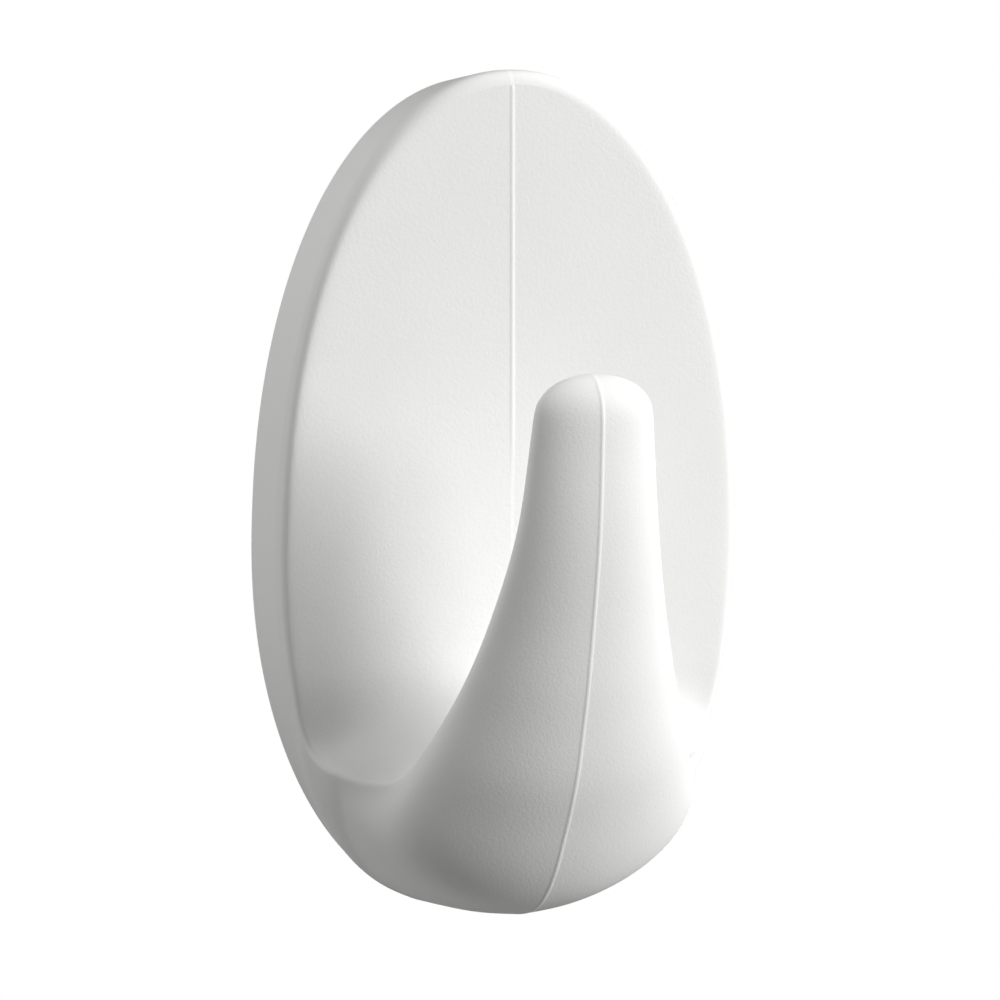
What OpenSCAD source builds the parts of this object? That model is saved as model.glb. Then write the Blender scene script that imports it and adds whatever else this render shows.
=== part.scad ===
// Adhesive wall hook: a moulded oval hook that hangs on a base plate,
// which a stretch-release adhesive strip holds to the wall.
// Wall plane at Y = 0, front towards -Y, +Z up, origin on the wall behind the middle of the oval.

/* [Hook body] */
// Height of the oval body
body_h = 64.7; // [60:0.1:80]
// Width of the oval body at the wall
body_w = 37.7; // [35:0.1:48]
// Depth of the body, from the wall to its face
body_t = 7.3; // [7:0.1:9]
// How far the widest place lies below the middle
waist_drop = 3.1; // [1:0.1:5]
// Power of the oval outline, where 2 is an ellipse
oval_power = 2.1; // [2:0.05:2.4]
// How far the side wall leans out towards the face
wall_flare = 0.6; // [0:0.1:1]
// How far the wall leans out towards the face at the top
top_flare = 1.2; // [0:0.1:1.6]
// Size of the rounded edge round the face
rim_r = 1; // [0.5:0.1:1.5]
// Size of that edge at the top
top_r = 1.3; // [0.5:0.1:2]
// Height above the middle where that edge starts to grow
round_start = 16; // [12:1:24]
// How far the edge of the face falls back beside the prong
rim_dip = 0.3; // [0:0.1:1.2]
// Height above the middle where that edge starts to fall back
dip_start = 8; // [4:0.5:12]
// Height over which it falls back
dip_span = 20; // [16:0.5:24]
// Gap between the body and the wall
wall_gap = 0.3; // [0.1:0.1:0.6]

/* [Prong] */
// Reach of the prong from the wall
reach = 23.4; // [21:0.2:30]
// Height of the tip above the middle
tip_rise = 11.4; // [6:0.2:16]
// Width of the prong at its tip
tip_w = 10.8; // [7:0.2:13]
// Thickness of the prong at its tip
tip_t = 4.6; // [3.5:0.1:6]
// Height of the rounded end of the tip
tip_round = 3.3; // [2:0.1:4.5]
// Slope of the two flanks down from the ridge of the prong
ridge_slope = 0.25; // [0:0.05:0.4]
// Depth of the seat below the middle
seat_drop = 17.3; // [16:0.1:18.5]
// Distance from the face to the lowest line of the seat
seat_out = 5.2; // [4:0.1:6]
// Half width of the seat where it meets the sides
seat_half_w = 12.4; // [11.6:0.1:13.4]
// How far the seat falls from its middle to its sides
seat_crown = 2.4; // [1.6:0.1:3.2]

/* [Hollow back] */
// Thickness of the face
face_wall = 2.2; // [1.8:0.1:3]
// Thickness of the side wall
side_wall = 1.8; // [1.2:0.1:2.4]
// Half width of the core in the root of the prong
core_half_w = 6; // [4:0.5:7]
// Height of that core
core_h = 5.5; // [4:0.5:6]
// Depth of that core beyond the hollow
core_depth = 6; // [3:0.5:7]
// Corner radius of that core
core_corner = 2; // [1:0.25:2]
// Height of the middle of that core above the bottom of the body
core_rise = 8.7; // [8:0.1:9.5]

/* [Base plate] */
// Width of the plate
plate_w = 22; // [18:0.5:23]
// Height of the plate
plate_h = 40; // [34:0.5:42]
// Thickness of the plate
plate_t = 2; // [1.8:0.1:2.4]
// Corner radius of the plate
plate_corner = 4; // [2:0.5:8]
// Height of the top edge of the plate above the middle
plate_top = 20.5; // [18:0.25:21]
// Width of the raised border of the plate
plate_border = 3; // [2:0.5:5]
// Depth of the shallow panel inside the border
panel_depth = 0.5; // [0.2:0.1:0.8]
// Width of each lug
lug_w = 2.2; // [1.5:0.1:2.3]
// Height of each lug
lug_h = 4.2; // [3.5:0.1:4.6]
// Thickness of each lug
lug_t = 1.3; // [1:0.1:1.3]
// Height of the upper pair of lugs above the middle
lug_top_z = 10; // [6:0.5:11]
// Depth of the lower pair of lugs below the middle
lug_low_drop = 11; // [6:0.5:12]

/* [Claws and ledge] */
// Thickness of the leg of each claw
claw_t = 1.4; // [1:0.1:1.6]
// Running clearance between claw and lug
claw_clear = 0.3; // [0.2:0.05:0.4]
// Thickness of the ledge that carries the hook
ledge_t = 1.8; // [1.2:0.1:2.5]
// Half width of the ledge
ledge_half_w = 8; // [4:0.5:8.5]
// Gap between the ledge and the plate
ledge_gap = 0.2; // [0.1:0.05:0.4]

/* [Adhesive strip] */
// Width of the strip
strip_w = 20; // [16:0.5:21]
// Length of the strip with its tab
strip_l = 44; // [38:0.5:44.5]
// Thickness of the strip
strip_t = 0.8; // [0.7:0.05:1]
// Distance from the top of the plate to the top of the strip
strip_inset = 1.5; // [1:0.25:3]
// Length of the pull tab
tab_l = 10; // [8:0.5:12]
// Thickness of the film on each side of the tab
film_t = 0.12; // [0.1:0.01:0.2]

/* [Hidden] */
white = "#F4F4EF";
$fn = 48;

// Outline of the oval
half_w = body_w / 2;
top_z = body_h / 2;
bottom_z = -top_z;
waist_z = -waist_drop;
up_h = top_z - waist_z;
low_h = waist_z - bottom_z;
function signed_pow(v, e) = sign(v) * pow(abs(v), e);
function oval(angle, grow, top_grow) = [
    (half_w + grow) * signed_pow(cos(angle), 2 / oval_power),
    waist_z + (sin(angle) < 0 ? low_h + grow : up_h + top_grow) * signed_pow(sin(angle), 2 / oval_power)];

// Edge of the face, level above and falling back beside the prong, and foot of the side wall
function ease(f) = let(g = min(max(f, 0), 1)) g * g * (3 - 2 * g);
function mix(a, b, f) = a + (b - a) * f;
function rim_out(z) = body_t - rim_dip * ease((dip_start - z) / dip_span);
function rim_point(angle) = let(p = oval(angle, wall_flare, top_flare)) [p[0], rim_out(p[1]), p[1]];
function foot_point(angle) = let(p = oval(angle, 0, 0)) [p[0], wall_gap, p[1]];

// Stations along the bar of the hook: down the prong from its tip, round the seat and up the face.
// Points are [out from the wall, height] in the middle plane and [sideways, out, height] elsewhere.
tip_half_w = tip_w / 2;
tip_back = reach - tip_t;
tip_base = tip_rise - tip_round;
seat_z = -seat_drop;
seat_o = body_t + seat_out;
rim_first = -28;
rim_step = 10;
function throat_at(o, z) = [seat_o + (tip_back - seat_o) * o, seat_z + (tip_base - seat_z) * z];
function root_at(o, z) = [body_t + seat_out * o, seat_z + seat_out * z];
function edge_at(w, o, z) = [
    tip_half_w + (seat_half_w - tip_half_w) * w,
    seat_o + (tip_back - seat_o) * o,
    seat_z - seat_crown + (tip_base - seat_z + seat_crown) * z];
function front_at(o, z) = [reach * o, bottom_z + (tip_base - bottom_z) * z];
throat_line = [
    throat_at(1.00, 1.00),
    throat_at(0.94, 0.68),
    throat_at(0.80, 0.41),
    throat_at(0.58, 0.19),
    throat_at(0.31, 0.05),
    throat_at(0.00, 0.00),
    root_at(0.52, 0.20),
    root_at(0.26, 0.78),
    [body_t + 0.07 * seat_out, rim_point(rim_first + rim_step)[2] + 0.43 * seat_out],
    [body_t, rim_point(rim_first + 2 * rim_step)[2]],
    [body_t, rim_point(rim_first + 3 * rim_step)[2]]];
edge_line = [
    edge_at(0.00, 1.34, 1.00),
    edge_at(0.12, 1.20, 0.71),
    edge_at(0.32, 0.95, 0.47),
    edge_at(0.52, 0.67, 0.27),
    edge_at(0.76, 0.33, 0.10),
    edge_at(1.00, 0.00, 0.00),
    [seat_half_w + 0.62 * seat_out, seat_o - 0.56 * seat_out, seat_z - 1.33 * seat_crown],
    rim_point(rim_first),
    rim_point(rim_first + rim_step),
    rim_point(rim_first + 2 * rim_step),
    rim_point(rim_first + 3 * rim_step)];
front_line = [
    front_at(0.997, 1.00),
    front_at(0.977, 0.79),
    front_at(0.926, 0.60),
    front_at(0.865, 0.43),
    front_at(0.755, 0.24),
    front_at(0.510, 0.040),
    [wall_gap, bottom_z]];
// Size of the rounded edge at the stations, as a share of the rim's
edge_round = [2.0, 2.0, 1.8, 1.5, 1.1, 0.8, 0.8, 0.8, 0.9, 1.0];
// Fullness of the front at the stations, where 0.55 is an ellipse
front_bow = [0.70, 0.68, 0.64, 0.60, 0.57, 0.55, 0.52];
// How far the outer side turns in under the edge, as a share of the half width
under_turn = [0, 0, 0, -0.08, -0.20, -0.26, 0.14];
// Places of the foot of the wall round the oval, from the bottom up
foot_places = [-90, -55, -30, -11, 2];

corner = len(front_line) - 1;
rim_start = corner + 1;
last_spline = len(edge_line) - 2;
level = corner + len(foot_places) - 1;
top_station = rim_start + (90 - rim_first) / rim_step;

function unit(v) = v / norm(v);
function spline(k, u) = let(
        i = min(floor(u), len(k) - 2),
        f = u - i,
        b = k[i],
        c = k[i + 1],
        a = i > 0 ? k[i - 1] : 2 * b - c,
        d = i + 2 < len(k) ? k[i + 2] : 2 * c - b)
    (2 * b + (c - a) * f + (2 * a - 5 * b + 4 * c - d) * f * f + (3 * b - 3 * c + d - a) * f * f * f) / 2;
function rim_place(u) = rim_first + (u - rim_start) * rim_step;
function foot_place(u) = u < level ? spline(foot_places, u - corner) : rim_place(u);
function edge(u) = u <= last_spline ? spline(edge_line, max(u, 0)) : rim_point(rim_place(u));
function foot(u) = u > corner ? foot_point(foot_place(u))
    : let(p = spline(front_line, u)) [0, p[0], p[1]];
function at_station(k, u) = spline(k, min(u, len(k) - 1));

// Direction across the edge, out of the throat side
probe = 0.02;
function along_edge(u) = unit(edge(u + probe) - edge(u - probe));
function across_edge(u) = u >= top_station ? [0, 0, 1]
    : let(t = along_edge(u)) unit([1, 0, 0] - t[0] * t);

// Outer side of the bar: bowed round the prong and the belly
function along_foot(u) = u <= corner ? [1, 0, 0]
    : unit(foot_point(foot_place(u) + 1) - foot_point(foot_place(u) - 1));
function bowed_handles(u) = let(
        k = edge(u),
        e = foot(u),
        depth = [0, e[1] - k[1], e[2] - k[2]],
        wide = k[0] - e[0],
        bow = at_station(front_bow, u),
        ridge = ridge_slope * (1 - ease(u / corner)))
    [k, k + bow * depth - [wide * at_station(under_turn, u), 0, 0],
     e + bow * wide * (along_foot(u) - ridge * unit(depth)), e];
function bezier(h, v) = pow(1 - v, 3) * h[0] + 3 * v * pow(1 - v, 2) * h[1]
    + 3 * v * v * (1 - v) * h[2] + pow(v, 3) * h[3];

// Outer side of the body: the side wall, from the edge of the face to its foot
function on_wall(u, v) = let(
        p = oval(mix(rim_place(u), foot_place(u), v), wall_flare * (1 - v), top_flare * (1 - v)),
        k = edge(u))
    [p[0], k[1] + (wall_gap - k[1]) * v, p[1]];
function wall_point(u, v) = on_wall(u, v) + (edge(u) - on_wall(u, 0)) * pow(1 - v, 2);
merge_span = 1.8;
function outer_point(u, v) = let(s = ease((u - corner) / merge_span))
    s == 0 ? bezier(bowed_handles(u), v)
    : s == 1 ? wall_point(u, v)
    : mix(bezier(bowed_handles(u), v), wall_point(u, v), s);

// One half section: across the throat side, round the edge, down the outer side
throat_steps = 7;
round_steps = 3;
outer_steps = 9;
function half_section(u) = let(
        k = edge(u),
        r = mix(rim_r * at_station(edge_round, u), top_r, ease((k[2] - round_start) / (top_z - round_start))),
        inner = k - r * across_edge(u),
        mid = u < last_spline ? spline(throat_line, u) : [body_t, inner[2]],
        from = r * probe / norm(outer_point(u, probe) - k),
        outer = outer_point(u, from))
    [for (n = [0 : throat_steps]) let(f = n / throat_steps)
        [inner[0] * f, mid[0] + (inner[1] - mid[0]) * f * f, mid[1] + (inner[2] - mid[1]) * f * f],
     for (n = [1 : round_steps]) let(f = n / round_steps)
        pow(1 - f, 2) * inner + 2 * f * (1 - f) * k + f * f * outer,
     for (n = [1 : outer_steps]) outer_point(u, from + (1 - from) * n / outer_steps)];
function mirrored(p) = [-p[0], p[1], p[2]];
function section(u) = let(s = half_section(u), n = len(s) - 1)
    [for (j = [n : -1 : 1]) mirrored(s[j]), for (p = s) p];

// Rounded end of the prong: the first section drawn in towards the tip
tip_steps = 6;
tip_power = 2.2;
tip_mid = [0, reach - tip_t / 2, tip_base];
function tip_section(s, angle) = [for (p = s)
    tip_mid + (p - tip_mid) * pow(cos(angle), 2 / tip_power)
        + [0, 0, tip_round * pow(sin(angle), 2 / tip_power)]];

bar_steps = 5;
rim_rows = 13;
stations = [
    for (n = [0 : level * bar_steps]) n / bar_steps,
    for (n = [1 : rim_rows]) level + (top_station - level) * n / rim_rows];
tip_rows = let(s = section(0))
    [for (n = [tip_steps - 1 : -1 : 1]) tip_section(s, 90 * n / tip_steps)];
rows = concat(tip_rows, [for (u = stations) section(u)]);
row_len = len(rows[0]);
row_count = len(rows);
closed_rows = len(tip_rows) + corner * bar_steps + 1;
mid_col = (row_len - 1) / 2;

// Points are shared where a section closes on the middle plane or runs out at the top
function point_id(i, j) = let(
        col = i < closed_rows && j == row_len - 1 ? 0
            : i < row_count - 1 ? j
            : abs(j - mid_col) <= throat_steps ? mid_col
            : min(j, row_len - 1 - j))
    1 + i * row_len + col;
function distinct(t) = t[0] != t[1] && t[1] != t[2] && t[2] != t[0];
blank_points = [[0, -tip_mid[1], tip_rise], for (r = rows) for (p = r) [p[0], -p[1], p[2]]];
blank_faces = [
    for (j = [0 : row_len - 2]) let(t = [0, point_id(0, j), point_id(0, j + 1)]) if (distinct(t)) t,
    for (i = [0 : row_count - 2]) for (j = [0 : row_len - 1]) let(
            k = (j + 1) % row_len,
            a = point_id(i, j),
            b = point_id(i, k),
            c = point_id(i + 1, k),
            d = point_id(i + 1, j))
        for (t = [[a, c, b], [a, d, c]]) if (distinct(t)) t];

// Hollow back, base plate and strip
hollow_top = body_t - face_wall;
bite = 0.5;
oval_step = 6;
plate_front = strip_t + plate_t;
lug_back = plate_front - lug_t;
lug_end = plate_w / 2 + lug_w;
claw_in = lug_end + claw_clear;
strip_top = plate_top - strip_inset;
strip_bottom = strip_top - strip_l;
tab_top = strip_bottom + tab_l;

// Lays a flat shape on the wall and raises it from one distance to another
module raised(from, to) {
    translate([0, -from, 0])
        rotate([90, 0, 0])
            linear_extrude(to - from)
                children();
}

// Rectangle with rounded corners, by its left, bottom, right and top
module rounded(x0, z0, x1, z1, r) {
    for (x = [x0 + r, x1 - r], z = [z0 + r, z1 - r])
        translate([x, z])
            circle(r);
    translate([x0 + r, z0])
        square([x1 - x0 - 2 * r, z1 - z0]);
    translate([x0, z0 + r])
        square([x1 - x0, z1 - z0 - 2 * r]);
}

module hollow() {
    raised(0, hollow_top)
        polygon([for (a = [0 : oval_step : 359]) oval(a, -side_wall, -side_wall)]);
    core_z = bottom_z + core_rise;
    raised(hollow_top - bite, hollow_top + core_depth)
        rounded(-core_half_w, core_z - core_h / 2, core_half_w, core_z + core_h / 2, core_corner);
}

// Claw that reaches behind a lug, on the right side
module claw(z) {
    raised(wall_gap, hollow_top + bite)
        translate([claw_in, z - lug_h / 2])
            square([claw_t, lug_h]);
    raised(wall_gap, lug_back - claw_clear)
        translate([plate_w / 2 + claw_clear, z - lug_h / 2])
            square([lug_w + claw_t, lug_h]);
}

module hook_shell() {
    color(white) {
        difference() {
            polyhedron(points = blank_points, faces = blank_faces, convexity = 6);
            hollow();
        }
        for (side = [0, 1], z = [lug_top_z, -lug_low_drop])
            mirror([side, 0, 0])
                claw(z);
        raised(strip_t, hollow_top + bite)
            translate([-ledge_half_w, plate_top + ledge_gap])
                square([2 * ledge_half_w, ledge_t]);
    }
}

module plate_outline(inset) {
    rounded(-plate_w / 2 + inset, plate_top - plate_h + inset,
        plate_w / 2 - inset, plate_top - inset, plate_corner - inset / 2);
}

module base_plate() {
    color("#E9E9E4") {
        difference() {
            raised(strip_t, plate_front)
                plate_outline(0);
            raised(plate_front - panel_depth, plate_front + bite)
                plate_outline(plate_border);
        }
        raised(lug_back, plate_front)
            for (side = [-1, 1], z = [lug_top_z, -lug_low_drop])
                translate([side * (lug_end - lug_w / 2 - bite / 2), z])
                    square([lug_w + bite, lug_h], center = true);
    }
}

// Outline of the strip, with a round lower end, between two heights
module strip_outline(z0, z1) {
    intersection() {
        translate([-strip_w / 2, z0])
            square([strip_w, z1 - z0]);
        union() {
            translate([0, strip_bottom + strip_w / 2])
                circle(strip_w / 2);
            translate([-strip_w / 2, strip_bottom + strip_w / 2])
                square([strip_w, strip_l]);
        }
    }
}

module adhesive_strip() {
    color("#EDEBE0") {
        raised(0, strip_t)
            strip_outline(tab_top, strip_top);
        raised(film_t, strip_t - film_t)
            strip_outline(strip_bottom, tab_top + bite);
    }
}

module tab_film(from) {
    raised(from, from + film_t)
        strip_outline(strip_bottom, tab_top);
}

module tab_film_front() {
    color("#DCE4EA")
        tab_film(strip_t - film_t);
}

module tab_film_wall() {
    color("#DCE4EA")
        tab_film(0);
}

hook_shell();
base_plate();
adhesive_strip();
tab_film_front();
tab_film_wall();
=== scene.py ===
"""Adhesive wall hook: a moulded hook on a base plate that an adhesive strip holds to the wall.

The file is laid out as an add-on and run as a script. Every piece is in metres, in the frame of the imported
solids: the wall is the plane Y = 0, the front faces -Y, +Z is up.
"""

import math

import bmesh
import bpy
from bpy.props import FloatProperty, FloatVectorProperty, PointerProperty
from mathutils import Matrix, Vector


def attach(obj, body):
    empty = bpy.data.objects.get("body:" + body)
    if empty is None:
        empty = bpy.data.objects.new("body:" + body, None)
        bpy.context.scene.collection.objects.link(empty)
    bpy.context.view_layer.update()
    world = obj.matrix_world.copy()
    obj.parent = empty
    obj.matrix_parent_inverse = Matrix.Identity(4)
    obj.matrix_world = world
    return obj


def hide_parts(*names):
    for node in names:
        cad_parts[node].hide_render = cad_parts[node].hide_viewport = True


bl_info = {
    "name": "Adhesive Wall Hook",
    "version": (1, 0, 0),
    "blender": (4, 5, 0),
    "location": "View3D > Sidebar > Wall Hook",
    "description": "Models a moulded wall hook with its base plate, adhesive strip and stage",
    "category": "Add Mesh",
}

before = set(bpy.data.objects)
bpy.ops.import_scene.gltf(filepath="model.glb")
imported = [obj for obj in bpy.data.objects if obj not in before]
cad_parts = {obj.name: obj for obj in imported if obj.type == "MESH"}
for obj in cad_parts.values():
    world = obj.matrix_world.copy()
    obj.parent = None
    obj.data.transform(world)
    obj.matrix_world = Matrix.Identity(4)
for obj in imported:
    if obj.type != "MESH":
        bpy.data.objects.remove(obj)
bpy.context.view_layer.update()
MM = 0.001
# Distance within which two points count as one, in metres
WELD = 1e-6
# Turn from which an edge of the back is bevelled, and turn from which any edge is shaded as sharp
BEVEL_TURN = math.radians(50)
SHADING_TURN = math.radians(32)
# Least share of a face's normal along Y for the face to look that way
FACING = 0.9


# Settings


def length(name, description, millimetres):
    """A length that the user can change, with its default in millimetres."""
    return FloatProperty(name=name, description=description, default=millimetres * MM, min=0.0,
                         precision=5, unit="LENGTH")


def share(name, description, default):
    """A plain number without a unit."""
    return FloatProperty(name=name, description=description, default=default, precision=3)


def colour(name, description, default):
    """A colour in linear light."""
    return FloatVectorProperty(name=name, description=description, default=default, min=0.0, max=1.0,
                               size=3, subtype="COLOR")


def angle(name, description, degrees):
    """An angle, with its default in degrees."""
    return FloatProperty(name=name, description=description, default=math.radians(degrees),
                         subtype="ANGLE")


class HookSizes(bpy.types.PropertyGroup):
    """Sizes of the moulded hook."""

    body_height: length("Body height", "Height of the oval body", 64.7)
    body_width: length("Body width", "Width of the oval body at the wall", 37.7)
    body_depth: length("Body depth", "Depth of the body, from the wall to its face", 7.3)
    waist_drop: length("Waist drop", "How far the widest place lies below the middle", 3.1)
    oval_power: share("Oval power", "Power of the oval outline, where 2 is an ellipse", 2.1)
    wall_flare: length("Wall flare", "How far the side wall leans out towards the face", 0.6)
    top_flare: length("Top flare", "How far the wall leans out towards the face at the top", 1.2)
    rim_radius: length("Rim radius", "Size of the rounded edge round the face", 1)
    top_radius: length("Top radius", "Size of that edge at the top", 1.3)
    round_start: length("Round start", "Height above the middle where that edge starts to grow", 16)
    rim_dip: length("Rim dip", "How far the edge of the face falls back beside the prong", 0.3)
    dip_start: length("Dip start", "Height above the middle where that edge starts to fall back", 8)
    dip_span: length("Dip span", "Height over which it falls back", 20)
    wall_gap: length("Wall gap", "Gap between the body and the wall", 0.3)
    reach: length("Reach", "Reach of the prong from the wall", 23.36)
    tip_rise: length("Tip rise", "Height of the tip above the middle", 11.4)
    tip_width: length("Tip width", "Width of the prong at its tip", 10.8)
    tip_thickness: length("Tip thickness", "Thickness of the prong at its tip", 4.6)
    tip_round: length("Tip round", "Height of the rounded end of the tip", 3.3)
    ridge_slope: share("Ridge slope", "Slope of the two flanks down from the ridge of the prong", 0.04)
    seat_drop: length("Seat drop", "Depth of the seat below the middle", 17.3)
    seat_out: length("Seat out", "Distance from the face to the lowest line of the seat", 5.2)
    seat_half_width: length("Seat half width", "Half width of the seat where it meets the sides", 12.4)
    seat_crown: length("Seat crown", "How far the seat falls from its middle to its sides", 2.4)
    face_wall: length("Face wall", "Thickness of the face", 2.2)
    side_wall: length("Side wall", "Thickness of the side wall", 1.8)
    core_half_width: length("Core half width", "Half width of the core in the root of the prong", 6)
    core_height: length("Core height", "Height of that core", 5.5)
    core_depth: length("Core depth", "Depth of that core beyond the hollow", 6)
    core_corner: length("Core corner", "Corner radius of that core", 2)
    core_rise: length("Core rise", "Height of the middle of that core above the bottom", 8.7)
    back_bevel: length("Back bevel", "Size of the bevel on the edges of the back", 0.12)
    claw_thickness: length("Claw thickness", "Thickness of the leg of each claw", 1.4)
    claw_clearance: length("Claw clearance", "Running clearance between claw and lug", 0.3)
    claw_bevel: length("Claw bevel", "Size of the bevel on the claws and the ledge", 0.15)
    ledge_thickness: length("Ledge thickness", "Thickness of the ledge that carries the hook", 1.8)
    ledge_half_width: length("Ledge half width", "Half width of that ledge", 8)
    ledge_gap: length("Ledge gap", "Gap between that ledge and the plate", 0.2)
    bead_width: length("Parting line width", "Width of the raised parting line", 0.3)
    bead_height: length("Parting line height", "Height of the raised parting line", 0.03)
    bead_end: length("Parting line end", "Height at which the parting line of the face ends", 5)


class PlateSizes(bpy.types.PropertyGroup):
    """Sizes of the base plate and the adhesive strip."""

    plate_width: length("Plate width", "Width of the base plate", 22)
    plate_height: length("Plate height", "Height of the base plate", 40)
    plate_thickness: length("Plate thickness", "Thickness of the base plate", 2)
    plate_corner: length("Plate corner", "Corner radius of the base plate", 4)
    plate_top: length("Plate top", "Height of its top edge above the middle", 20.5)
    plate_border: length("Plate border", "Width of its raised border", 3)
    plate_bevel: length("Plate bevel", "Size of the bevel on its edges", 0.2)
    panel_depth: length("Panel depth", "Depth of the shallow panel inside the border", 0.5)
    lug_width: length("Lug width", "Width of each lug", 2.2)
    lug_height: length("Lug height", "Height of each lug", 4.2)
    lug_thickness: length("Lug thickness", "Thickness of each lug", 1.3)
    lug_top: length("Upper lugs", "Height of the upper pair of lugs above the middle", 10)
    lug_low: length("Lower lugs", "Depth of the lower pair of lugs below the middle", 11)
    strip_width: length("Strip width", "Width of the adhesive strip", 20)
    strip_length: length("Strip length", "Length of the strip with its tab", 44)
    strip_thickness: length("Strip thickness", "Thickness of the strip", 0.8)
    strip_inset: length("Strip inset", "Distance from the top of the plate to the top of the strip", 1.5)
    strip_bevel: length("Strip bevel", "Size of the bevel on the edges of the strip", 0.05)
    tab_length: length("Tab length", "Length of the pull tab", 10)
    film_thickness: length("Film thickness", "Thickness of the film on each side of the tab", 0.12)


class FinishSettings(bpy.types.PropertyGroup):
    """Colours of the finishes."""

    hook_colour: colour("Hook", "White of the moulded hook", (0.80, 0.80, 0.79))
    plate_colour: colour("Plate", "White of the base plate", (0.78, 0.78, 0.76))
    foam_colour: colour("Foam", "Off-white of the adhesive strip", (0.80, 0.78, 0.70))
    film_colour: colour("Film", "Tint of the clear film on the tab", (0.70, 0.76, 0.80))
    floor_colour: colour("Floor", "Light grey of the floor", (0.50, 0.50, 0.50))


class StageSettings(bpy.types.PropertyGroup):
    """Camera of the photograph's view, the light and the floor."""

    azimuth: angle("Azimuth", "Turn of the camera round the hook", -25)
    elevation: angle("Elevation", "Height of the camera above the horizon", 7)
    distance: length("Distance", "Distance of the camera from the origin", 763)
    aim_right: length("Aim right", "How far right of the origin the camera aims", 2.15)
    aim_down: length("Aim down", "How far below the origin the camera aims", 0.54)
    lamp_distance: length("Lamp distance", "Distance of the softboxes from the origin", 700)
    fill: share("Fill", "Strength of the even light from all round", 0.02)
    floor_drop: length("Floor drop", "Distance of the floor below the middle of the hook", 300)
    floor_radius: length("Floor radius", "Radius of the floor", 250)


# The hook's surface


def ease(f):
    """A smooth step from 0 to 1."""
    g = min(max(f, 0.0), 1.0)
    return g * g * (3 - 2 * g)


def mix(a, b, f):
    """The value at the share f of the way from a to b."""
    return a + (b - a) * f


def spline(knots, u):
    """A smooth curve through knots, with a knot at each whole number."""
    i = min(int(u), len(knots) - 2)
    f = u - i
    b, c = knots[i], knots[i + 1]
    a = knots[i - 1] if i > 0 else 2 * b - c
    d = knots[i + 2] if i + 2 < len(knots) else 2 * c - b
    square = (2 * a - 5 * b + 4 * c - d) * (f * f)
    cube = (3 * b - 3 * c + d - a) * (f * f * f)
    return (2 * b + (c - a) * f + square + cube) / 2


def at_station(knots, u):
    """As spline, and constant past the last knot."""
    return spline(knots, min(u, len(knots) - 1))


def bezier(corners, v):
    """A point of the cubic curve with those four control points."""
    a, b, c, d = corners
    w = 1 - v
    return a * w ** 3 + b * (3 * v * w * w) + c * (3 * v * v * w) + d * v ** 3


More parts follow.
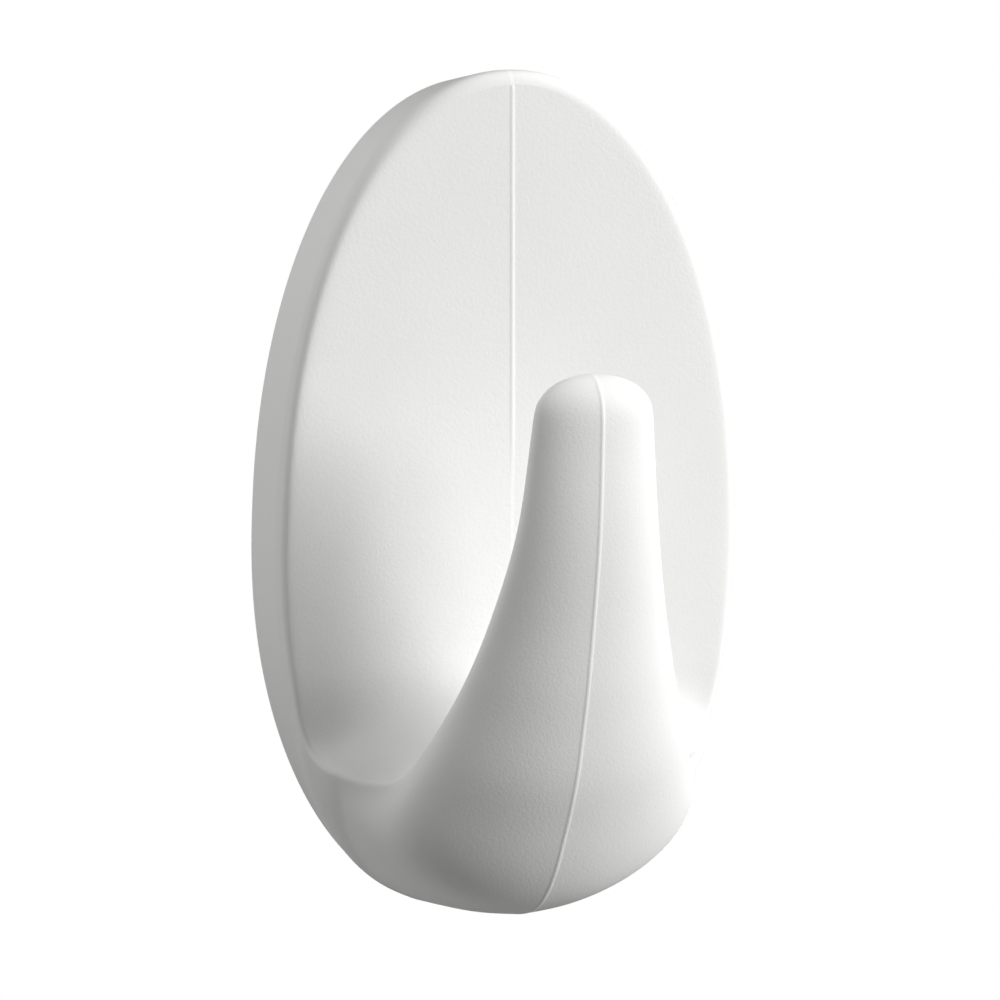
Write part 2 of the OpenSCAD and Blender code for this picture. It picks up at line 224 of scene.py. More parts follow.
class HookForm:
    """Surface of the hook, as sections of a bar that runs down the prong, round the seat and up the face.

    Points are (out from the wall, up) in the middle plane, and (across, out, up) elsewhere. A station u is a
    place along the bar, with 0 at the base of the rounded tip.
    """

    # Size of the rounded edge at the stations, as a share of the rim's
    EDGE_ROUND = (1.4, 1.4, 1.4, 1.3, 1.1, 0.8, 0.8, 0.8, 0.9, 1.0)
    # Fullness of the front at the stations, where 0.55 is an ellipse
    FRONT_BOW = (0.60, 0.57, 0.55, 0.55, 0.55, 0.55, 0.52)
    # How far the outer side turns in under the edge, as a share of the half width
    UNDER_TURN = (0.0, 0.0, 0.0, -0.08, -0.20, -0.26, 0.14)
    # Places of the foot of the wall round the oval, in degrees from the bottom up
    FOOT_PLACES = (-90.0, -55.0, -30.0, -11.0, 2.0)
    # Place on the oval of the first station of the rim, and the step from station to station
    RIM_FIRST = -28.0
    RIM_STEP = 10.0
    # Stations of the rim that the lines along the bar take in
    RIM_KNOTS = 4
    # Stations over which the belly merges into the side wall
    MERGE_SPAN = 1.8
    # Short step along or down the surface that gives its direction there
    PROBE = 0.02
    # Power of the rounded tip, where 2 is an ellipse
    TIP_POWER = 2.2
    # Rows of the tip, rows from station to station, and rows up the rest of the body
    TIP_ROWS = 6
    BAR_ROWS = 5
    RIM_ROWS = 16
    # Columns of half the throat side, of the rounded edge and of the outer side
    THROAT_COLUMNS = 8
    ROUND_COLUMNS = 4
    OUTER_COLUMNS = 9
    # Fullness of the rounded edge, where 0.55 is a quarter of a circle
    ROUND_FULLNESS = 0.6
    # Columns beside the parting line, as shares of its width, and their places where the section is open
    BEAD_COLUMNS = (0.0, 0.3, 0.65, 1.2)
    OPEN_COLUMNS = (0.76, 0.84, 0.92, 1.0)
    # Step between those columns where the throat side is narrow, as a share of its half width
    BEAD_CROWDING = 0.05
    # Times that the search for the place of such a column halves its span
    HALVINGS = 40
    # Most that the normal turns to the wall on the parting line, and most that it turns up on the belly
    BEAD_MOST_BACK = 0.2
    BEAD_MOST_UP = -0.03

    def __init__(self, sizes):
        self.sizes = sizes
        self.half_width = sizes.body_width / 2
        self.top = sizes.body_height / 2
        self.waist = -sizes.waist_drop
        self.up_height = self.top - self.waist
        self.low_height = self.waist + self.top
        self.tip_back = sizes.reach - sizes.tip_thickness
        self.tip_base = sizes.tip_rise - sizes.tip_round
        self.seat_up = -sizes.seat_drop
        self.seat_from_wall = sizes.body_depth + sizes.seat_out
        self.hollow_depth = sizes.body_depth - sizes.face_wall
        self.place_lines()
        # Stations: bottom of the body, first of the rim, last on the splines, first with its foot right
        # behind the rim, and top of the body
        self.corner = len(self.front_line) - 1
        self.rim_start = self.corner + 1
        self.last_spline = len(self.edge_line) - 2
        self.level = self.corner + len(self.FOOT_PLACES) - 1
        self.top_station = self.rim_start + (90 - self.RIM_FIRST) / self.RIM_STEP

    def place_lines(self):
        """The three lines along the bar: middle of the throat side, edge, and middle of the front."""
        s = self.sizes
        out, up = self.seat_from_wall, self.seat_up
        tip_half = s.tip_width / 2
        edge_up = up - s.seat_crown
        rim = [self.rim_point(self.RIM_FIRST + n * self.RIM_STEP) for n in range(self.RIM_KNOTS)]

        def throat(o, z):
            return Vector((mix(out, self.tip_back, o), mix(up, self.tip_base, z)))

        def root(o, z):
            return Vector((s.body_depth + s.seat_out * o, up + s.seat_out * z))

        def side(w, o, z):
            return Vector((mix(tip_half, s.seat_half_width, w), mix(out, self.tip_back, o),
                           mix(edge_up, self.tip_base, z)))

        def front(o, z):
            return Vector((s.reach * o, mix(-self.top, self.tip_base, z)))

        face_start = Vector((s.body_depth + 0.03 * s.seat_out, rim[1].z + 0.26 * s.seat_out))
        lip = Vector((s.seat_half_width + 0.62 * s.seat_out, out - 0.56 * s.seat_out,
                      up - 0.96 * s.seat_crown))
        self.throat_line = [
            throat(1.00, 1.00), throat(0.94, 0.68), throat(0.80, 0.41), throat(0.58, 0.19),
            throat(0.31, 0.05), throat(0.00, 0.00), root(0.52, 0.20), root(0.20, 0.69), face_start,
            Vector((s.body_depth, rim[2].z)), Vector((s.body_depth, rim[3].z))]
        self.edge_line = [
            side(0.00, 1.34, 1.00), side(0.12, 1.20, 0.71), side(0.32, 0.95, 0.47),
            side(0.52, 0.67, 0.27), side(0.76, 0.33, 0.10), side(1.00, 0.00, 0.00), lip, *rim]
        self.front_line = [
            front(0.997, 1.00), front(0.977, 0.79), front(0.926, 0.60), front(0.865, 0.43),
            front(0.755, 0.24), front(0.510, 0.040), Vector((s.wall_gap, -self.top))]

    def oval(self, degrees, flared=0.0):
        """Point of the oval outline, (across, up), with that share of the wall's flare."""
        power = 2 / self.sizes.oval_power
        cosine, sine = math.cos(math.radians(degrees)), math.sin(math.radians(degrees))
        grow = flared * self.sizes.wall_flare
        height = self.low_height + grow if sine < 0 else self.up_height + flared * self.sizes.top_flare
        across = math.copysign(abs(cosine) ** power, cosine) * (self.half_width + grow)
        return across, self.waist + math.copysign(abs(sine) ** power, sine) * height

    def oval_normal(self, across, up):
        """Outward direction of the oval outline at one of its points, (across, up)."""
        power = self.sizes.oval_power - 1
        rise = up - self.waist
        height = self.up_height if rise > 0 else self.low_height
        along = Vector((math.copysign(abs(across / self.half_width) ** power, across) / self.half_width,
                        math.copysign(abs(rise / height) ** power, rise) / height))
        return along.normalized()

    def rim_point(self, degrees):
        """Point of the edge of the face, which falls back beside the prong."""
        s = self.sizes
        across, up = self.oval(degrees, 1.0)
        return Vector((across, s.body_depth - s.rim_dip * ease((s.dip_start - up) / s.dip_span), up))

    def foot_point(self, degrees):
        """Point of the foot of the side wall."""
        across, up = self.oval(degrees)
        return Vector((across, self.sizes.wall_gap, up))

    def rim_place(self, u):
        """Place of the rim round the oval, in degrees."""
        return self.RIM_FIRST + (u - self.rim_start) * self.RIM_STEP

    def foot_place(self, u):
        """Place of the foot of the wall round the oval, in degrees."""
        return spline(self.FOOT_PLACES, u - self.corner) if u < self.level else self.rim_place(u)

    def edge(self, u):
        """Point of the edge between the throat side and the outer side."""
        if u <= self.last_spline:
            return spline(self.edge_line, max(u, 0.0))
        return self.rim_point(self.rim_place(u))

    def foot(self, u):
        """Last point of the outer side: on the ridge and belly, then at the foot of the side wall."""
        if u > self.corner:
            return self.foot_point(self.foot_place(u))
        out, up = spline(self.front_line, u)
        return Vector((0.0, out, up))

    def across_edge(self, u):
        """Direction square to the edge, out of the throat side."""
        if u >= self.top_station:
            return Vector((0.0, 0.0, 1.0))
        along = (self.edge(u + self.PROBE) - self.edge(u - self.PROBE)).normalized()
        return (Vector((1.0, 0.0, 0.0)) - along * along.x).normalized()

    def bowed(self, u, v):
        """Outer side round the prong and the belly, as one bowed curve from the edge to the foot."""
        edge, foot = self.edge(u), self.foot(u)
        depth = Vector((0.0, foot.y - edge.y, foot.z - edge.z))
        width = edge.x - foot.x
        bow = at_station(self.FRONT_BOW, u)
        ridge = self.sizes.ridge_slope * (1 - ease(u / self.corner))
        along = Vector((1.0, 0.0, 0.0))
        if u > self.corner:
            place = self.foot_place(u)
            along = (self.foot_point(place + 1) - self.foot_point(place - 1)).normalized()
        first = edge + bow * depth - Vector((width * at_station(self.UNDER_TURN, u), 0.0, 0.0))
        second = foot + bow * width * (along - ridge * depth.normalized())
        return bezier((edge, first, second, foot), v)

    def wall(self, u, v):
        """Outer side of the body, from the edge of the face to the foot of the wall."""

        def on_wall(f):
            place = mix(self.rim_place(u), self.foot_place(u), f)
            across, up = self.oval(place, 1 - f)
            return Vector((across, mix(edge.y, self.sizes.wall_gap, f), up))

        edge = self.edge(u)
        return on_wall(v) + (edge - on_wall(0.0)) * (1 - v) ** 2

    def outer(self, u, v):
        """Outer side, where v is 0 at the edge and 1 at the foot."""
        merged = ease((u - self.corner) / self.MERGE_SPAN)
        if merged == 0:
            return self.bowed(u, v)
        if merged == 1:
            return self.wall(u, v)
        return self.bowed(u, v).lerp(self.wall(u, v), merged)

    def bead_places(self):
        """Distances from the middle plane of the columns beside the parting line."""
        return [self.sizes.bead_width * column for column in self.BEAD_COLUMNS]

    def on_bead(self, vertex):
        """Whether a vertex of the mesh is on the parting line of the belly, the prong or the face."""
        s = self.sizes
        bead_half = s.bead_width / 2
        if abs(vertex.co.x) > bead_half or vertex.normal.y > self.BEAD_MOST_BACK:
            return False
        on_face = s.bead_end < vertex.co.z < self.top + s.top_flare - s.top_radius
        on_belly = vertex.normal.z < self.BEAD_MOST_UP and vertex.co.z > bead_half - self.top
        return on_face or on_belly

    def throat_shares(self, width):
        """Places of the columns across the throat side, close together beside the parting line."""
        beads = [n * self.BEAD_CROWDING for n in range(len(self.BEAD_COLUMNS))]
        if width > WELD:
            beads = [min(place / width, bead) for place, bead in zip(self.bead_places(), beads)]
        steps = range(1, self.THROAT_COLUMNS + 1)
        return beads + [mix(beads[-1], 1.0, n / self.THROAT_COLUMNS) for n in steps]

    def run_to(self, u, across):
        """Place v on a closed section's outer side at that distance from the middle plane."""
        low, high = 0.5, 1.0
        for _ in range(self.HALVINGS):
            middle = (low + high) / 2
            low, high = (middle, high) if self.outer(u, middle).x > across else (low, middle)
        return high

    def outer_shares(self, u, start):
        """Places of the columns down the outer side, close together beside the parting line."""
        beads = self.OPEN_COLUMNS
        if u <= self.corner:
            beads = [self.run_to(u, place) for place in reversed(self.bead_places())]
        steps = range(1, self.OUTER_COLUMNS)
        return [mix(start, beads[0], n / self.OUTER_COLUMNS) for n in steps] + list(beads)

    def half_section(self, u):
        """Across the throat side from the middle, round the edge and down the outer side."""
        s = self.sizes
        edge = self.edge(u)
        grown = ease((edge.z - s.round_start) / (self.top - s.round_start))
        radius = mix(s.rim_radius * at_station(self.EDGE_ROUND, u), s.top_radius, grown)
        inner = edge - radius * self.across_edge(u)
        middle = Vector((s.body_depth, inner.z))
        if u < self.last_spline:
            middle = spline(self.throat_line, u)
        start = radius * self.PROBE / (self.outer(u, self.PROBE) - edge).length
        outer = self.outer(u, start)
        points = [Vector((inner.x * f, mix(middle.x, inner.y, f * f), mix(middle.y, inner.z, f * f)))
                  for f in self.throat_shares(inner.x)]
        leaving = (self.outer(u, start + self.PROBE) - outer).normalized()
        turn = self.ROUND_FULLNESS * radius
        corners = (inner, inner + turn * self.across_edge(u), outer - turn * leaving, outer)
        points += [bezier(corners, n / self.ROUND_COLUMNS) for n in range(1, self.ROUND_COLUMNS + 1)]
        return points + [self.outer(u, v) for v in self.outer_shares(u, start)]

    def section(self, u):
        """A whole section, from the left foot over the throat side to the right foot."""
        half = self.half_section(u)
        left = [Vector((-p.x, p.y, p.z)) for p in reversed(half[1:])]
        return left + half

    def rows(self):
        """All sections from the tip to the top of the body."""
        s = self.sizes
        base = self.section(0.0)
        middle = Vector((0.0, s.reach - s.tip_thickness / 2, self.tip_base))
        rows = []
        for n in range(self.TIP_ROWS, 0, -1):
            turn = math.radians(90 * n / self.TIP_ROWS)
            drawn_in = max(math.cos(turn), 0.0) ** (2 / self.TIP_POWER) if n < self.TIP_ROWS else 0.0
            rise = Vector((0.0, 0.0, s.tip_round * math.sin(turn) ** (2 / self.TIP_POWER)))
            rows.append([middle + (p - middle) * drawn_in + rise for p in base])
        rows += [self.section(n / self.BAR_ROWS) for n in range(self.level * self.BAR_ROWS + 1)]
        rows += [self.section(mix(self.level, self.top_station, n / self.RIM_ROWS))
                 for n in range(1, self.RIM_ROWS + 1)]
        return rows


# Modelling helpers


def start_fresh():
    """Leaves edit mode and deselects every object."""
    if bpy.context.mode != "OBJECT":
        bpy.ops.object.mode_set(mode="OBJECT")
    bpy.ops.object.select_all(action="DESELECT")


def make_active(piece):
    """Selects one object alone."""
    start_fresh()
    piece.select_set(True)
    bpy.context.view_layer.objects.active = piece


def name_piece(name):
    """Names the object that was just added."""
    piece = bpy.context.active_object
    piece.name = name
    piece.data.name = name
    return piece


def edit(piece):
    """Opens a piece in edit mode."""
    make_active(piece)
    bpy.ops.object.mode_set(mode="EDIT")


def select_where(piece, kind, test):
    """Selects, in edit mode, the vertices, edges or faces that pass a test."""
    bpy.ops.mesh.select_mode(type=kind)
    bpy.ops.mesh.select_all(action="DESELECT")
    mesh = bmesh.from_edit_mesh(piece.data)
    mesh.normal_update()
    for element in {"VERT": mesh.verts, "EDGE": mesh.edges, "FACE": mesh.faces}[kind]:
        if test(element):
            element.select_set(True)
    mesh.select_flush_mode()
    bmesh.update_edit_mesh(piece.data)


def weld_points(distance):
    """Joins the points of the open piece that are that close."""
    bpy.ops.mesh.select_all(action="SELECT")
    bpy.ops.mesh.remove_doubles(threshold=distance)


def turn_outwards():
    """Turns all faces of the open piece outwards."""
    bpy.ops.mesh.select_all(action="SELECT")
    bpy.ops.mesh.normals_make_consistent(inside=False)


def extrude_along_y(distance):
    """Extrudes what is selected, towards the wall where the distance is positive."""
    bpy.ops.mesh.extrude_region_move(TRANSFORM_OT_translate={"value": (0, distance, 0)})


def middle_of(face):
    """Middle of the corners of a face."""
    points = [vertex.co for vertex in face.verts]
    return sum(points, Vector()) / len(points)


def finish_with(piece, kind, **settings):
    """Adds a modifier to a piece and applies it."""
    make_active(piece)
    bpy.ops.object.modifier_add(type=kind)
    modifier = piece.modifiers[-1]
    for name, value in settings.items():
        setattr(modifier, name, value)
    bpy.ops.object.modifier_apply(modifier=modifier.name)


def bevel_edges(piece, width):
    """Bevels the sharp edges of a whole piece."""
    finish_with(piece, "BEVEL", width=width, segments=2, limit_method="ANGLE")


def cut_or_join(piece, tool, operation):
    """Cuts a tool out of a piece, or joins it on, and deletes the tool."""
    finish_with(piece, "BOOLEAN", operation=operation, solver="EXACT", object=tool)
    bpy.data.objects.remove(tool)


def add_block(name, corner, opposite):
    """A cube primitive stretched between two opposite corners, with its place in its mesh."""
    start_fresh()
    low = Vector([min(pair) for pair in zip(corner, opposite)])
    high = Vector([max(pair) for pair in zip(corner, opposite)])
    bpy.ops.mesh.primitive_cube_add(size=1, location=(low + high) / 2, scale=high - low)
    block = name_piece(name)
    bpy.ops.object.transform_apply(location=True, rotation=True, scale=True)
    return block


def round_corners(piece, radius, segments):
    """Rounds the edges of a block that run straight out of the wall."""
    edit(piece)
    select_where(piece, "EDGE", lambda edge: abs(edge.verts[0].co.y - edge.verts[1].co.y) > WELD)
    bpy.ops.mesh.bevel(offset=radius, segments=segments, affect="EDGES")
    start_fresh()


def join_pieces(pieces, name):
    """Joins several objects into the first one."""
    make_active(pieces[0])
    for piece in pieces:
        piece.select_set(True)
    bpy.ops.object.join()
    return name_piece(name)


def dress(piece, material, body, slot, *nodes):
    """Gives a finished piece its shading, finish and body, and hides the solids that it stands for."""
    make_active(piece)
    bpy.ops.object.shade_smooth_by_angle(angle=SHADING_TURN)
    piece.data.materials.clear()
    piece.data.materials.append(material)
    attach(piece, body)
    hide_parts(*nodes)


# The hook


def lay_sections(form):
    """A grid laid along the sections, welded where they close, with its parting line raised."""
    rows = form.rows()
    start_fresh()
    bpy.ops.mesh.primitive_grid_add(x_subdivisions=len(rows[0]) - 1, y_subdivisions=len(rows) - 1, size=1)
    hook = name_piece("hook")
    points = [point for row in rows for point in row]
    for vertex, point in zip(hook.data.vertices, points, strict=True):
        vertex.co = (point.x, -point.y, point.z)
    edit(hook)
    weld_points(WELD)
    turn_outwards()
    select_where(hook, "VERT", form.on_bead)
    bpy.ops.transform.shrink_fatten(value=form.sizes.bead_height)
    start_fresh()
    finish_with(hook, "SUBSURF", levels=2, render_levels=2)
    return hook


def hollow_back(hook, form):
    """Turns the open back into a wall with a flat foot and a hollow behind the face."""
    s = form.sizes
    edit(hook)
    bpy.ops.mesh.select_mode(type="EDGE")
    bpy.ops.mesh.select_all(action="DESELECT")
    bpy.ops.mesh.select_non_manifold(extend=False, use_wire=False, use_boundary=True, use_multi_face=False,
                                     use_non_contiguous=False, use_verts=False)
    bpy.ops.mesh.extrude_region_move()
    mesh = bmesh.from_edit_mesh(hook.data)
    for vertex in mesh.verts:
        if vertex.select:
            inwards = -s.side_wall * form.oval_normal(vertex.co.x, vertex.co.z)
            vertex.co += Vector((inwards.x, 0.0, inwards.y))
    bmesh.update_edit_mesh(hook.data)
    extrude_along_y(s.wall_gap - form.hollow_depth)
    bpy.ops.mesh.edge_face_add()
    turn_outwards()
    levels = [{round(-depth / WELD)} for depth in (s.wall_gap, form.hollow_depth)]

    def on_back(edge):
        if {round(vertex.co.y / WELD) for vertex in edge.verts} not in levels:
            return False
        return len(edge.link_faces) == 2 and edge.calc_face_angle() > BEVEL_TURN

    select_where(hook, "EDGE", on_back)
    bpy.ops.mesh.bevel(offset=s.back_bevel, segments=2, affect="EDGES")
    start_fresh()


def core_cutter(form):
    """Rounded block that hollows the root of the prong."""
    s = form.sizes
    middle = -form.top + s.core_rise
    cutter = add_block("core_cutter",
                       (-s.core_half_width, -form.hollow_depth - s.core_depth, middle - s.core_height / 2),
                       (s.core_half_width, -form.hollow_depth / 2, middle + s.core_height / 2))
    round_corners(cutter, s.core_corner, segments=6)
    return cutter


def claws_and_ledge(form, plate):
    """Four claws that reach behind the lugs of the plate, and the ledge above its top edge."""
    s = form.sizes
    root = s.body_depth - s.face_wall / 2
    plate_front = plate.strip_thickness + plate.plate_thickness
    half = plate.plate_width / 2
    leg = half + plate.lug_width + s.claw_clearance
    lip_out = plate_front - plate.lug_thickness - s.claw_clearance
    pieces = []
    for side in (-1, 1):
        for up in (plate.lug_top, -plate.lug_low):
            low, high = up - plate.lug_height / 2, up + plate.lug_height / 2
            claw = add_block("claw", (side * leg, -root, low),
                             (side * (leg + s.claw_thickness), -s.wall_gap, high))
            lip = add_block("lip", (side * (half + s.claw_clearance), -lip_out, low),
                            (side * (leg + WELD), -s.wall_gap, high))
            cut_or_join(claw, lip, "UNION")
            pieces.append(claw)
    ledge_low = plate.plate_top + s.ledge_gap
    pieces.append(add_block("ledge", (-s.ledge_half_width, -root, ledge_low),
                            (s.ledge_half_width, -plate.strip_thickness, ledge_low + s.ledge_thickness)))
    fittings = join_pieces(pieces, "claws_and_ledge")
    bevel_edges(fittings, s.claw_bevel)
    return fittings


# The plate and the strip


# Share of the strip's half width that each corner of its round end takes, so that the two don't cross
ROUND_END = 0.9999


def panel_and_lugs(s):
    """The plate with its shallow panel and four lugs."""
    back, front = -s.strip_thickness, -s.strip_thickness - s.plate_thickness
    half = s.plate_width / 2
    plate = add_block("plate", (-half, front, s.plate_top - s.plate_height), (half, back, s.plate_top))
    round_corners(plate, s.plate_corner, segments=10)
    edit(plate)
    select_where(plate, "FACE", lambda face: face.normal.y < -FACING)
    bpy.ops.mesh.inset(thickness=s.plate_border)
    extrude_along_y(s.panel_depth)
    start_fresh()
    for side in (-1, 1):
        for up in (s.lug_top, -s.lug_low):
            lug = add_block("lug", (side * (half - s.lug_width / 2), front, up - s.lug_height / 2),
                            (side * (half + s.lug_width), front + s.lug_thickness, up + s.lug_height / 2))
            cut_or_join(plate, lug, "UNION")
    bevel_edges(plate, s.plate_bevel)
    return plate


def strip_heights(s):
    """Heights of the top of the strip, the top of its tab and its lower end."""
    top = s.plate_top - s.strip_inset
    low = top - s.strip_length
    return top, low + s.tab_length, low


def strip_sheet(name, s, top, out):
    """A flat sheet with the outline of the strip below a height, with its round lower end."""
    half = s.strip_width / 2
    low = strip_heights(s)[2]
    start_fresh()
    bpy.ops.mesh.primitive_plane_add(size=1, location=(0, -out, (top + low) / 2),
                                     rotation=(math.pi / 2, 0, 0))
    sheet = name_piece(name)
    sheet.scale = (s.strip_width, top - low, 1)
    bpy.ops.object.transform_apply(location=True, rotation=True, scale=True)
    edit(sheet)
    select_where(sheet, "VERT", lambda vertex: vertex.co.z < low + WELD)
    bpy.ops.mesh.bevel(offset=half * ROUND_END, segments=24, affect="VERTICES")
    weld_points(10 * WELD)
    start_fresh()
    return sheet


def thicken(sheet, thickness):
    """Turns a flat sheet into a slab that stands that far out of the wall."""
    edit(sheet)
    bpy.ops.mesh.select_all(action="SELECT")
    extrude_along_y(-thickness)
    turn_outwards()
    start_fresh()


def strip_with_tab(s):
    """The strip, with a tab that leaves room for a film on each side."""
    top, tab_top, _ = strip_heights(s)
    strip = strip_sheet("strip", s, top, s.film_thickness)
    edit(strip)
    bpy.ops.mesh.select_all(action="SELECT")
    bpy.ops.mesh.bisect(plane_co=(0, 0, tab_top), plane_no=(0, 0, 1))
    thicken(strip, s.strip_thickness - 2 * s.film_thickness)
    edit(strip)
    for way in (-1, 1):
        select_where(strip, "FACE",
                     lambda face: face.normal.y * way > FACING and middle_of(face).z > tab_top)
        extrude_along_y(way * s.film_thickness)
    start_fresh()
    bevel_edges(strip, s.strip_bevel)
    return strip


# Finishes


# Where the painted highlight along the parting line starts and ends to fade, as shares of its width
BEAD_FADE = (0.35, 0.6)
# How much lighter the painted highlight is than the plastic
BEAD_HIGHLIGHT = 1.06
# Values of the noise at the darkest and the lightest shade
SHADE_ENDS = (0.35, 0.65)


def shaded(tint, change):
    """A colour made lighter or darker by a factor, and opaque."""
    return (*[min(channel * change, 1) for channel in tint], 1)


def set_inputs(node, **inputs):
    """Sets inputs of a node by name, with underscores for spaces."""
    for name, value in inputs.items():
        node.inputs[name.replace("_", " ")].default_value = value


def add_node(material, kind, **inputs):
    """A node with some of its inputs set."""
    node = material.node_tree.nodes.new(kind)
    set_inputs(node, **inputs)
    return node


def new_finish(name, **inputs):
    """A material, its surface shader with some inputs set, and the object's coordinates."""
    material = bpy.data.materials.new(name)
    material.use_nodes = True
    shader = material.node_tree.nodes["Principled BSDF"]
    set_inputs(shader, **inputs)
    coordinates = add_node(material, "ShaderNodeTexCoord")
    return material, shader, coordinates.outputs["Object"]


def add_grain(material, shader, coordinates, size, depth, strength):
    """Fine bumps of that size and depth over the whole surface."""
    link = material.node_tree.links.new
    grain = add_node(material, "ShaderNodeTexNoise", Scale=1 / size, Detail=2.0, Roughness=0.6)
    bump = add_node(material, "ShaderNodeBump", Strength=strength, Distance=depth)
    link(coordinates, grain.inputs["Vector"])
    link(grain.outputs["Fac"], bump.inputs["Height"])
    link(bump.outputs["Normal"], shader.inputs["Normal"])


def add_shade_change(material, coordinates, tint, size, amount):
    """A colour that drifts a little lighter and darker over patches of that size."""
    link = material.node_tree.links.new
    patches = add_node(material, "ShaderNodeTexNoise", Scale=1 / size, Detail=3.0)
    ramp = add_node(material, "ShaderNodeValToRGB")
    for end, place, change in zip(ramp.color_ramp.elements, SHADE_ENDS, (1 - amount, 1 + amount)):
        end.position = place
        end.color = shaded(tint, change)
    link(coordinates, patches.inputs["Vector"])
    link(patches.outputs["Fac"], ramp.inputs["Fac"])
    return ramp.outputs["Color"]


def hook_finish(tint, bead_width):
    """White moulded plastic with a fine spark-eroded grain, and a painted highlight along the parting line
    in the middle plane.
    """
    material, shader, coordinates = new_finish("white_moulded_plastic", Roughness=0.58,
                                               Specular_IOR_Level=0.3)
    link = material.node_tree.links.new
    add_grain(material, shader, coordinates, size=0.24 * MM, depth=0.03 * MM, strength=0.5)
    body = add_shade_change(material, coordinates, tint, size=9 * MM, amount=0.008)
    # Painted highlight: the colour turns lighter along the parting line in the middle plane
    fade_start, fade_end = [place * bead_width for place in BEAD_FADE]
    point = add_node(material, "ShaderNodeSeparateXYZ")
    beside = add_node(material, "ShaderNodeMath")
    beside.operation = "ABSOLUTE"
    on_bead = add_node(material, "ShaderNodeMapRange", From_Min=fade_start, From_Max=fade_end, To_Min=1.0,
                       To_Max=0.0)
    painted_highlight = add_node(material, "ShaderNodeMix")
    painted_highlight.data_type = "RGBA"
    link(coordinates, point.inputs["Vector"])
    link(point.outputs["X"], beside.inputs[0])
    link(beside.outputs["Value"], on_bead.inputs["Value"])
    link(on_bead.outputs["Result"], painted_highlight.inputs["Factor"])
    link(body, painted_highlight.inputs["A"])
    painted_highlight.inputs["B"].default_value = shaded(tint, BEAD_HIGHLIGHT)
    link(painted_highlight.outputs["Result"], shader.inputs["Base Color"])
    return material


def plate_finish(tint):
    """Plain white moulded plastic, a little smoother than the hook."""
    material, shader, coordinates = new_finish("plain_white_plastic", Roughness=0.42)
    add_grain(material, shader, coordinates, size=0.5 * MM, depth=0.02 * MM, strength=0.25)
    body = add_shade_change(material, coordinates, tint, size=6 * MM, amount=0.02)
    material.node_tree.links.new(body, shader.inputs["Base Color"])
    return material


def foam_finish(tint):
    """Off-white foam with fine cells and a tacky skin."""
    material, shader, coordinates = new_finish("adhesive_foam", Roughness=0.5)
    link = material.node_tree.links.new
    cells = add_node(material, "ShaderNodeTexVoronoi", Scale=1 / (0.35 * MM))
    bump = add_node(material, "ShaderNodeBump", Strength=0.6, Distance=0.06 * MM)
    body = add_shade_change(material, coordinates, tint, size=1.5 * MM, amount=0.04)
    link(coordinates, cells.inputs["Vector"])
    link(cells.outputs["Distance"], bump.inputs["Height"])
    link(bump.outputs["Normal"], shader.inputs["Normal"])
    link(body, shader.inputs["Base Color"])
    return material


def film_finish(tint):
    """Thin glossy film, faintly wrinkled."""
    material, shader, coordinates = new_finish("clear_tab_film", Roughness=0.18, Coat_Weight=0.4,
                                               Coat_Roughness=0.1)
    add_grain(material, shader, coordinates, size=2.5 * MM, depth=0.05 * MM, strength=0.3)
    body = add_shade_change(material, coordinates, tint, size=3 * MM, amount=0.03)
    material.node_tree.links.new(body, shader.inputs["Base Color"])
    return material


def floor_finish(tint):
    """Matt light grey floor."""
    material, shader, coordinates = new_finish("grey_floor", Roughness=0.9)
    body = add_shade_change(material, coordinates, tint, size=80 * MM, amount=0.01)
    material.node_tree.links.new(body, shader.inputs["Base Color"])
    return material


# The stage


# Focal length in millimetres, and how far the camera sees in metres
LENS = 355
CLIP_END = 20
# Turn of each softbox round the hook and its height, in degrees, its size in metres and its power in watts
SOFTBOXES = {
    "key_light": (60, 14, 0.32, 5.0),
    "front_fill": (45, 26, 0.32, 1.7),
    "side_fill": (-102, -4, 0.36, 1.5),
    "left_fill": (-45, 50, 0.36, 1.8),
    "low_fill": (75, -20, 0.36, 0.7),
    "top_fill": (180, 75, 0.36, 0.7),
    "back_fill": (180, 0, 0.36, 0.9),
}


def from_origin(azimuth, elevation):
    """Direction from the origin, where azimuth 0 is the front and positive to the right."""
    level = math.cos(elevation)
    return Vector((math.sin(azimuth) * level, -math.cos(azimuth) * level, math.sin(elevation)))


def add_camera(s):
    """A camera at the photograph's viewing angle."""
    back = from_origin(s.azimuth, s.elevation)
    right = Vector((math.cos(s.azimuth), math.sin(s.azimuth), 0.0))
    aim = right * s.aim_right - right.cross(-back) * s.aim_down
    data = bpy.data.cameras.new("camera")
    data.lens = LENS
    data.clip_end = CLIP_END
    camera = bpy.data.objects.new("camera", data)
    camera.location = back * s.distance
    camera.rotation_euler = (aim - camera.location).to_track_quat("-Z", "Y").to_euler()
    bpy.context.scene.collection.objects.link(camera)
    bpy.context.scene.camera = camera


def add_floor(s, tint):
    """A round floor below the hook."""
    start_fresh()
    bpy.ops.mesh.primitive_circle_add(vertices=96, radius=s.floor_radius, fill_type="NGON",
                                      location=(0, 0, -s.floor_drop))
    floor = name_piece("floor")
    floor.data.materials.append(floor_finish(tint))


def add_softbox(name, place, size, power):
    """A round area light aimed at the origin, which the camera doesn't see."""
    start_fresh()
    bpy.ops.object.light_add(type="AREA", location=place)
    light = name_piece(name)
    light.data.shape = "DISK"
    light.data.size = size
    light.data.energy = power
    light.rotation_euler = (-place).to_track_quat("-Z", "Y").to_euler()
    light.visible_camera = False


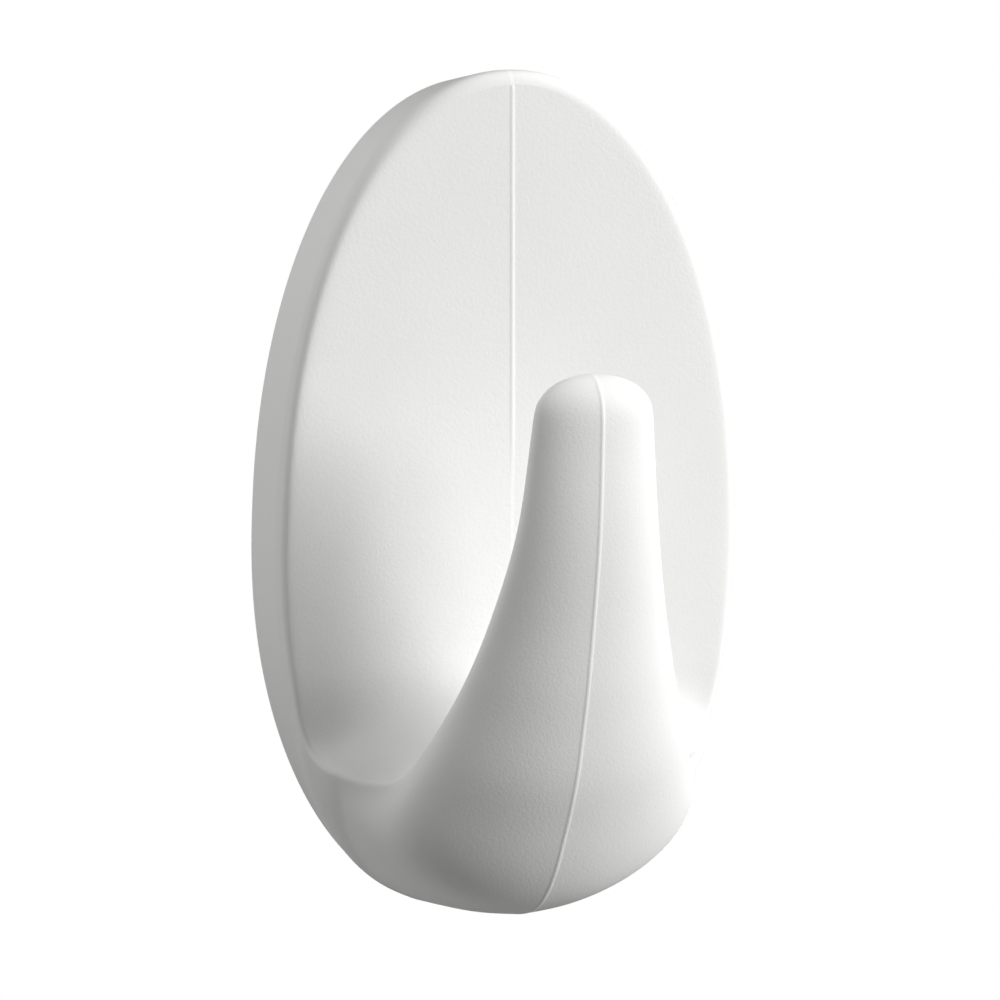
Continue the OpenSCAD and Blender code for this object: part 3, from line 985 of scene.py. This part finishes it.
def set_background(scene, fill):
    """White behind the object, and a soft even light of that strength on it."""
    world = bpy.data.worlds.new("studio")
    world.use_nodes = True
    scene.world = world
    nodes, link = world.node_tree.nodes, world.node_tree.links.new
    soft = nodes["Background"]
    set_inputs(soft, Color=(1, 1, 1, 1), Strength=fill)
    white = nodes.new("ShaderNodeBackground")
    set_inputs(white, Color=(1, 1, 1, 1))
    path = nodes.new("ShaderNodeLightPath")
    shown = nodes.new("ShaderNodeMath")
    shown.operation = "MAXIMUM"
    choose = nodes.new("ShaderNodeMixShader")
    link(path.outputs["Is Camera Ray"], shown.inputs[0])
    link(path.outputs["Is Transmission Ray"], shown.inputs[1])
    link(shown.outputs["Value"], choose.inputs["Fac"])
    link(soft.outputs["Background"], choose.inputs[1])
    link(white.outputs["Background"], choose.inputs[2])
    link(choose.outputs["Shader"], nodes["World Output"].inputs["Surface"])


# Operators


class WALLHOOK_OT_hook(bpy.types.Operator):
    """Models the moulded hook with its hollow back, claws and ledge"""

    bl_idname = "wall_hook.hook"
    bl_label = "Hook"

    def execute(self, context):
        scene = context.scene
        form = HookForm(scene.wall_hook_sizes)
        hook = lay_sections(form)
        hollow_back(hook, form)
        cut_or_join(hook, core_cutter(form), "DIFFERENCE")
        cut_or_join(hook, claws_and_ledge(form, scene.wall_hook_plate), "UNION")
        finish = hook_finish(scene.wall_hook_finish.hook_colour, form.sizes.bead_width)
        dress(hook, finish, "hook", "hook_plastic", "hook_shell")
        return {"FINISHED"}


class WALLHOOK_OT_plate(bpy.types.Operator):
    """Models the base plate with its shallow panel and four lugs"""

    bl_idname = "wall_hook.plate"
    bl_label = "Base Plate"

    def execute(self, context):
        plate = panel_and_lugs(context.scene.wall_hook_plate)
        finish = plate_finish(context.scene.wall_hook_finish.plate_colour)
        dress(plate, finish, "base", "plate_plastic", "base_plate")
        return {"FINISHED"}


class WALLHOOK_OT_strip(bpy.types.Operator):
    """Models the adhesive strip, thinner at its pull tab"""

    bl_idname = "wall_hook.strip"
    bl_label = "Adhesive Strip"

    def execute(self, context):
        strip = strip_with_tab(context.scene.wall_hook_plate)
        finish = foam_finish(context.scene.wall_hook_finish.foam_colour)
        dress(strip, finish, "base", "strip_foam", "adhesive_strip")
        return {"FINISHED"}


class WALLHOOK_OT_films(bpy.types.Operator):
    """Models the two films on the pull tab"""

    bl_idname = "wall_hook.films"
    bl_label = "Tab Films"

    def execute(self, context):
        s = context.scene.wall_hook_plate
        tab_top = strip_heights(s)[1]
        finish = film_finish(context.scene.wall_hook_finish.film_colour)
        places = {"film_wall": (0.0, "tab_film_wall"),
                  "film_front": (s.strip_thickness - s.film_thickness, "tab_film_front")}
        for name, (out, node) in places.items():
            film = strip_sheet(name, s, tab_top, out)
            thicken(film, s.film_thickness)
            dress(film, finish, "base", "tab_film", node)
        return {"FINISHED"}


class WALLHOOK_OT_stage(bpy.types.Operator):
    """Sets up the camera, the floor and the soft studio light"""

    bl_idname = "wall_hook.stage"
    bl_label = "Stage"

    def execute(self, context):
        s = context.scene.wall_hook_stage
        add_camera(s)
        add_floor(s, context.scene.wall_hook_finish.floor_colour)
        for name, (turn, rise, size, power) in SOFTBOXES.items():
            way = from_origin(math.radians(turn), math.radians(rise))
            add_softbox(name, way * s.lamp_distance, size, power)
        set_background(context.scene, s.fill)
        context.scene.view_settings.view_transform = "Standard"
        return {"FINISHED"}


class WALLHOOK_PT_panel(bpy.types.Panel):
    """Lists the pieces of the wall hook"""

    bl_label = "Wall Hook"
    bl_idname = "WALLHOOK_PT_panel"
    bl_space_type = "VIEW_3D"
    bl_region_type = "UI"
    bl_category = "Wall Hook"

    def draw(self, context):
        for operator in OPERATORS:
            self.layout.operator(operator.bl_idname)


GROUPS = {"wall_hook_sizes": HookSizes, "wall_hook_plate": PlateSizes, "wall_hook_finish": FinishSettings,
          "wall_hook_stage": StageSettings}
OPERATORS = (WALLHOOK_OT_hook, WALLHOOK_OT_plate, WALLHOOK_OT_strip, WALLHOOK_OT_films, WALLHOOK_OT_stage)


def register():
    for cls in (*GROUPS.values(), *OPERATORS, WALLHOOK_PT_panel):
        bpy.utils.register_class(cls)
    for name, group in GROUPS.items():
        setattr(bpy.types.Scene, name, PointerProperty(type=group))


def unregister():
    for name in GROUPS:
        delattr(bpy.types.Scene, name)
    for cls in (WALLHOOK_PT_panel, *reversed(OPERATORS), *reversed(list(GROUPS.values()))):
        bpy.utils.unregister_class(cls)


def main():
    """Builds every piece in order."""
    register()
    bpy.ops.wall_hook.hook()
    bpy.ops.wall_hook.plate()
    bpy.ops.wall_hook.strip()
    bpy.ops.wall_hook.films()
    bpy.ops.wall_hook.stage()


if __name__ == "__main__":
    main()
